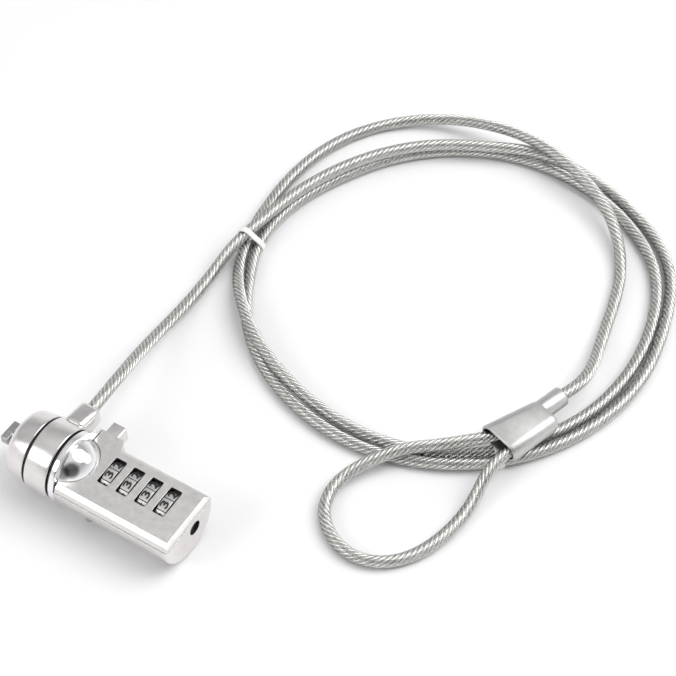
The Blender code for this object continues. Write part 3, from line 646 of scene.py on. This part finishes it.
def make_swivel():
    """The ring, with the boss that holds the cable's end."""
    low = span("swivel_ring", 0)[0]
    high = low + 7.4 * MM
    edge, inset = 0.35 * MM, 0.45 * MM
    outline = [(low, HEAD_BORE_R), (low, HEAD_R), (high, HEAD_R), (high, HEAD_BORE_R)]
    ring = turned(filleted(outline, (0, edge, edge, 0)))
    start, end = AXIS_Y + 7.4 * MM, span("swivel_ring", 1)[1]
    side = [(start, AXIS_Z - 0.3 * MM), (end, AXIS_Z + 0.9 * MM)]
    side += [(end, AXIS_Z + 6.7 * MM), (start, AXIS_Z + 8.2 * MM)]
    boss = bevelled(prism(side, low + inset, high - inset, ALONG_X), 1.7 * MM, 8, 40)
    reach = 1  # the bore's tool runs on far past the boss
    bore = turned(rod(-reach, reach, 2.15 * MM), 0, 0, 40)
    at = (middle("cable_ferrule", 0), reach + AXIS_Y + 9 * MM, middle("cable_ferrule", 2))
    bore.transform(Matrix.Translation(at) @ Matrix.Rotation(np.pi / 2, 4, "Z"))
    mesh = carved(ring, ("UNION", boss), ("DIFFERENCE", bore))
    add("swivel_body", mesh, "swivel", ZINC, ["swivel_ring"])


def dome_profile(radius, back, wall=0.0):
    """The profile of a ball about the rim's front, from back to its end. A wall makes it a shell."""
    arc = np.linspace(0, np.arccos((back - RIM_FRONT) / radius), 40)
    outer = [(RIM_FRONT + radius, 0)]
    outer += [(RIM_FRONT + radius * np.cos(t), radius * np.sin(t)) for t in arc[1:]]
    if not wall:
        return [*outer, (back, 0)]
    inner = [(RIM_FRONT + (radius - wall) * np.cos(t), (radius - wall) * np.sin(t)) for t in arc[:0:-1]]
    return [*outer, *inner, (RIM_FRONT + radius - wall, 0)]


def make_housing():
    """The round lower body with its rim, the spigot and the button's shoulder, cut open along the seam."""
    spigot, edge = span("housing", 0)[0], 0.3 * MM
    outside = [(spigot, 0), (spigot, SPIGOT_R), (RIM_FRONT, SPIGOT_R), (RIM_FRONT, HEAD_R)]
    outside += [(RIM_BACK, HEAD_R), (RIM_BACK, BODY_R), (BODY_END, BODY_R), (BODY_END, 0)]
    profile = filleted(outside, (0, edge, 0, edge, edge, 0, 0.9 * MM, 0), closed=False)
    inner_end = BODY_END - END_WALL
    cavity = rod(RIM_BACK + 0.1 * MM, inner_end, 9.4 * MM)
    stem_hole = rod(spigot - MM, RIM_BACK + MM, STEM_HOLE_R)
    reset_hole = rod(inner_end - MM, BODY_END + MM, 2.2 * MM)
    shoulder = prism(shoulder_outline(RIM_BACK - MM), AXIS_Z - 5 * MM, SEAM_Z + 3 * MM)
    steps = [
        ("UNION", bevelled(shoulder, 0.8 * MM, 6)),
        ("DIFFERENCE", turned(cavity, steps=96)),
        ("DIFFERENCE", block((RIM_BACK, 0.1), (-0.1, 0.1), (SEAM_Z - SEAM_GAP, 0.1))),
        ("DIFFERENCE", button_window()),
        ("DIFFERENCE", turned(stem_hole, steps=64)),
        ("DIFFERENCE", turned(reset_hole, DIAL_Y, DIAL_Z, 64)),
        ("DIFFERENCE", pin_hole(AXIS_Z - 3.6 * MM)),
    ]
    for screw in SCREWS:
        place = [(middle(screw, 0), middle(screw, 1))]
        head = half_size(screw, 0) + 0.3 * MM
        steps.append(("DIFFERENCE", prism(around(place, head, 40), -MM, AXIS_Z - 6.2 * MM)))
        steps.append(("DIFFERENCE", prism(around(place, PIN_HOLE_R, 24), -MM, SEAM_Z)))
    body = add("housing_body", carved(turned(profile, steps=192), *steps), "housing", ZINC, ["housing"])
    # The reset hole's wall gets black as painted shade.
    give_faces(body, BLACK, in_reset_hole)
    give_faces(body, CHROME, on_rim)


def make_dome():
    """The polished quarter sphere behind the rim, open below the seam."""
    below = block((-0.1, 0.1), (-0.1, 0.1), (-0.1, SEAM_Z - SEAM_GAP))
    shell = turned(dome_profile(DOME_R, RIM_BACK - 0.4 * MM, 1.2 * MM), steps=192)
    add("dome", carved(shell, ("DIFFERENCE", below)), "housing", CHROME)


def in_reset_hole(centre):
    """True on the wall of the hole over the reset screw, but not on either face of the end wall. These faces
    get black as painted shade.
    """
    within_wall = BODY_END - END_WALL + 0.05 * MM < centre.x < BODY_END - 0.01 * MM
    return within_wall and dial_radius(centre) < 2.25 * MM


def on_rim(centre):
    """True on the rim's faces, which stand proud of the body."""
    radius = np.hypot(centre.y - AXIS_Y, centre.z - AXIS_Z)
    return RIM_FRONT < centre.x < RIM_BACK + 0.02 * MM and radius > BODY_R


def shoulder_outline(first):
    """The button's shoulder seen from above."""
    start, bend = RIM_BACK + 7.2 * MM, RIM_BACK + 9.1 * MM
    inner, outer = AXIS_Y + 6 * MM, AXIS_Y + 12.3 * MM
    corner = AXIS_Y + 8.6 * MM
    return [(first, inner), (first, outer), (start, outer), (bend, corner), (bend, inner)]


def button_window():
    """The opening that the button slides in."""
    return block(
        (RIM_BACK + 0.1 * MM, RIM_BACK + 5.1 * MM),
        (AXIS_Y + 7.5 * MM, AXIS_Y + 13.5 * MM),
        (AXIS_Z - 2.6 * MM, AXIS_Z + 3.0 * MM),
    )


def make_cover():
    """The flat deck over the seam, with bevelled sides, a chamfered end and the dial windows."""
    low = SEAM_Z + SEAM_GAP
    side = np.sqrt(BODY_R**2 - (low - AXIS_Z) ** 2)
    ridge, ridge_z = 9.95 * MM, AXIS_Z + 3.1 * MM
    section = [(-side, low), (side, low), (ridge, ridge_z), (DECK_HALF, DECK_Z)]
    section += [(-DECK_HALF, DECK_Z), (-ridge, ridge_z)]
    section = filleted(section, (0, 0, 0.5 * MM, 0.25 * MM, 0.25 * MM, 0.5 * MM), steps=5)
    section = [(AXIS_Y + y, z) for y, z in section]
    front = RIM_BACK + 0.2 * MM
    plate = prism(section, front, BODY_END, ALONG_X)
    hollow = (AXIS_Y - HOLLOW_HALF, AXIS_Y + HOLLOW_HALF)
    chamfer = 0.85 * MM
    end = [(BODY_END - chamfer, DECK_Z), (BODY_END, DECK_Z - chamfer), (BODY_END + MM, DECK_Z - chamfer)]
    end += [(BODY_END + MM, DECK_Z + MM), (BODY_END - chamfer, DECK_Z + MM)]
    steps = [
        ("UNION", prism(filleted(shoulder_outline(front), (0, 0, 0.8 * MM, 0.8 * MM, 0)), low, DECK_Z)),
        ("DIFFERENCE", block((0, BODY_END - END_WALL), hollow, (0, DECK_Z - DECK_THICK))),
        ("DIFFERENCE", prism(end, -0.1, 0.1, ALONG_Y)),
        ("DIFFERENCE", turned(dome_profile(DOME_R + 0.12 * MM, RIM_FRONT - 3 * MM), steps=192)),
        ("DIFFERENCE", button_window()),
    ]
    for dial in DIALS:
        opening = rounded((middle(dial, 0), WINDOW_MIDDLE_Y), (WINDOW_X, WINDOW_Y), 0.6 * MM)
        steps.append(("DIFFERENCE", prism(opening, DECK_Z - 4 * MM, DECK_Z + 2 * MM)))
    cover = add("cover_plate", carved(plate, *steps), "housing", DECK, ["top_cover"])
    # The window walls and the faces of the hollow get black as painted shade.
    give_faces(cover, BLACK, lambda centre: in_window(centre) or inside_cover(centre))


def inside_cover(centre):
    """True on the faces of the cover's hollow, which get black as painted shade."""
    across = abs(centre.y - AXIS_Y) < HOLLOW_HALF + 0.01 * MM
    below = centre.z < DECK_Z - DECK_THICK + 0.05 * MM
    return RIM_BACK + MM < centre.x < BODY_END - END_WALL + 0.1 * MM and across and below


def in_window(centre):
    """True on the walls of the dial windows, which get black as painted shade."""
    slack = 0.01 * MM
    near = min(abs(centre.x - middle(dial, 0)) for dial in DIALS) <= WINDOW_X / 2 + slack
    across = abs(centre.y - WINDOW_MIDDLE_Y) <= WINDOW_Y / 2 + slack
    return near and across and DECK_Z - DECK_THICK + slack < centre.z < DECK_Z - 2 * slack


def make_button():
    """A skin over the CAD button's cap, with finer edges."""
    skin = 0.05 * MM
    tip = span("push_button", 1)[1] + skin
    x = (RIM_BACK + 0.4 * MM - skin, RIM_BACK + 4.8 * MM + skin)
    z = (AXIS_Z - 2.3 * MM - skin, AXIS_Z + 2.7 * MM + skin)
    cap = bevelled(block(x, (AXIS_Y + 11.8 * MM, tip), z), 0.45 * MM, 5, 50)
    add("button_cap", cap, "button", ZINC)


def make_t_bar():
    front, back = span("t_bar", 0)
    y, z = (AXIS_Y - 3.3 * MM, AXIS_Y + 3.3 * MM), (AXIS_Z - 1.3 * MM, AXIS_Z + 1.3 * MM)
    head = bevelled(block((front, front + 2.6 * MM), y, z), 0.4 * MM, 5, 50)
    stem = turned(rod(front + MM, back, STEM_R), steps=64)
    add("t_bar_body", carved(stem, ("UNION", head)), "t_bar", STEEL, ["t_bar"])


# Dials


def digit_mesh(text):
    """A flat digit about its own centre, cut into narrow strips so that it can wrap on a dial."""
    curve = bpy.data.curves.new("digit", "FONT")
    curve.body, curve.size, curve.resolution_u = text, 3.25 * MM, 2
    curve.align_x, curve.align_y = "CENTER", "CENTER"
    curve.extrude, curve.offset = DIGIT_DEEP, 0.10 * MM
    obj = helper(curve)
    graph = bpy.context.evaluated_depsgraph_get()
    mesh = bpy.data.meshes.new_from_object(obj.evaluated_get(graph))
    bpy.data.objects.remove(obj)
    bm = bmesh.new()
    bm.from_mesh(mesh)
    bmesh.ops.triangulate(bm, faces=bm.faces)
    for level in np.linspace(-0.9, 0.9, 7) * MM:
        whole = [*bm.verts, *bm.edges, *bm.faces]
        bmesh.ops.bisect_plane(bm, geom=whole, plane_co=(level, 0, 0), plane_no=(1, 0, 0))
    bm.to_mesh(mesh)
    bm.free()
    return mesh


def make_dial(node):
    """A wheel that nearly fills its window, with a groove between each two digits."""
    low, high = span(node, 0)
    low, high = low - DIAL_EXTRA, high + DIAL_EXTRA
    bore, edge = 4.2 * MM, 0.15 * MM
    outline = [(low, bore), (low, DIAL_R), (high, DIAL_R), (high, bore)]
    mesh = turned(filleted(outline, (0, edge, edge, 0), steps=4), DIAL_Y, DIAL_Z, 120)
    grooves = []
    for i in range(10):
        turn = np.radians(DIAL_START + DIAL_STEP * (i + 0.5))
        groove = block((low - MM, high + MM), (-0.13 * MM, 0.13 * MM), (DIAL_R - 0.2 * MM, DIAL_R + MM))
        groove.transform(Matrix.Translation((0, DIAL_Y, DIAL_Z)) @ Matrix.Rotation(turn, 4, "X"))
        grooves.append(("DIFFERENCE", groove))
    dial = add(f"{node}_wheel", carved(mesh, *grooves), node, DIAL_METAL, [node])
    give_faces(dial, INK, in_groove)
    # The dial's side faces get black as painted shade in the gaps beside it.
    give_faces(dial, BLACK, lambda centre: not low + 0.02 * MM < centre.x < high - 0.02 * MM)


def make_digits(node, shown, digits):
    """Ten digits round a dial, from the one shown on. Their tops point to the head."""
    bm = bmesh.new()
    for i in range(10):
        done = len(bm.verts)
        bm.from_mesh(digits[(shown + i) % 10])
        bm.verts.ensure_lookup_table()
        for vert in bm.verts[done:]:
            turn = np.radians(DIAL_START + DIAL_STEP * i) - vert.co.x * DIGIT_WIDEN / DIAL_R
            radius = DIAL_R + 0.02 * MM + (vert.co.z - DIGIT_DEEP)
            x = middle(node, 0) - vert.co.y
            vert.co = (x, DIAL_Y - radius * np.sin(turn), DIAL_Z + radius * np.cos(turn))
    add(f"{node}_digits", mesh_of("digits", bm), node, INK)


def dial_radius(point):
    return np.hypot(point.y - DIAL_Y, point.z - DIAL_Z)


def in_groove(centre):
    """True on the faces of a dial's grooves."""
    angle = np.degrees(np.arctan2(DIAL_Y - centre.y, centre.z - DIAL_Z)) - DIAL_START
    return abs(angle % DIAL_STEP - DIAL_STEP / 2) < 2.5 and dial_radius(centre) < DIAL_R - 0.04 * MM


# Sleeve and ties


def around(centres, radius, steps=64):
    """The outline of a band drawn tight round circles about the centres."""
    points = []
    for t in np.linspace(0, 2 * np.pi, steps, endpoint=False):
        way = Vector((np.cos(t), np.sin(t)))
        furthest = max(centres, key=lambda c: way.dot(Vector(c)))
        points.append(Vector(furthest) + radius * way)
    return points


def lofted(sections, place):
    """A closed body through (level, outline) sections, all outlines with as many points."""
    rings = [[place @ Vector((a, b, level)) for a, b in outline] for level, outline in sections]
    return ring_tube(rings)


def make_sleeve():
    """The double-barrel sleeve. It flares to its wide end, and a round collar is at its other end."""
    along = Vector((0.306, 0.952, 0)).normalized()
    place = Matrix((Vector((-along.y, along.x, 0)), Vector((0, 0, 1)), along)).transposed().to_4x4()
    place.translation = Vector((87.3, 67.4, 8.3)) * MM
    one, other, flare = (1.2 * MM, 0), (-3.0 * MM, 0), 3.0 * MM
    long, total = 17.2 * MM, 25.5 * MM
    outer, collar = 3.3 * MM, 3.0 * MM
    bore, wide_bore = 2.35 * MM, 2.45 * MM

    def pair(level, radius):
        lean = flare * (1 - level / long)
        return level, around([(one[0] + lean, 0), other], radius)

    # Both barrels and then the collar: each level and what it adds to the radius, in millimetres.
    barrels = ((0, -0.5), (0.15, -0.2), (0.5, 0), (16.4, 0), (16.9, -0.15), (17.2, -0.45))
    sections = [pair(level * MM, outer + more * MM) for level, more in barrels]
    for level, more in ((17.2, -0.12), (17.7, 0), (24.9, 0), (25.3, -0.12), (25.5, -0.35)):
        sections.append((level * MM, around([one], collar + more * MM)))
    bores = [
        ("DIFFERENCE", prism(around([one], bore), -MM, total + MM, place)),
        ("DIFFERENCE", lofted([pair(-MM, wide_bore), pair(long - 2 * MM, wide_bore)], place)),
    ]
    mesh = carved(lofted(sections, place), *bores, smooth=45)
    return add("sleeve", mesh, "swivel", ALUMINIUM, ["crimp_sleeve"])


def make_tie(node, name, middle_at, along, path):
    """A band round every stretch of the cable that passes near middle_at, across the direction along."""
    along = Vector(along).normalized()
    across = Vector((along.y, -along.x, 0))
    place = Matrix((across, Vector((0, 0, 1)), along)).transposed().to_4x4()
    place.translation = Vector(middle_at)
    offsets = path - np.array(middle_at)
    ahead = offsets @ np.array(along)
    cables = []
    for i in np.flatnonzero(np.sign(ahead[1:]) != np.sign(ahead[:-1])):
        crossing = Vector(offsets[i])
        if crossing.length < TIE_REACH:
            cables.append((crossing @ across, crossing.z))
    inner, thick, half = CABLE_R + 0.06 * MM, 0.4 * MM, 1.0 * MM
    sections = [(-half, inner + thick * 0.6), (-half * 0.8, inner + thick), (half * 0.8, inner + thick)]
    sections.append((half, inner + thick * 0.6))
    body = lofted([(level, around(cables, radius)) for level, radius in sections], place)
    hole = prism(around(cables, inner), -2 * half, 2 * half, place)
    return add(name, carved(body, ("DIFFERENCE", hole)), "swivel", TIE, [node])


def finish_cad_nodes():
    """The nodes of the frame get their slot's finish, for those that no piece replaces."""
    for part in frame["record"]["subparts"]:
        node = frame["nodes"][part["node"]]
        finish = DARK_STEEL if part["node"] == "reset_screw" else FINISH_OF_SLOT[part["material_slot"]]
        node.data.materials.clear()
        node.data.materials.append(finish)


def main():
    make_camera()
    jacket, strands, path, length = make_cable()
    sleeve = make_sleeve()
    ties = [
        make_tie("tie_1", "tie_band_1", Vector((-17.0, 98.0, 3.0)) * MM, (-0.1, 1.0, 0.0), path),
        make_tie("tie_2", "tie_band_2", Vector((86.6, 68.3, 2.4)) * MM, (0.72, 0.69, 0.0), path),
    ]
    make_stage()
    make_nose()
    make_washer("front_washer", "washer_front")
    make_washer("rear_washer", "washer_rear")
    make_swivel()
    make_housing()
    make_dome()
    make_cover()
    make_button()
    make_t_bar()
    digits = [digit_mesh(str(i)) for i in range(10)]
    for node, shown in zip(DIALS, SHOWN):
        make_dial(node)
        make_digits(node, shown, digits)
    finish_cad_nodes()


main()
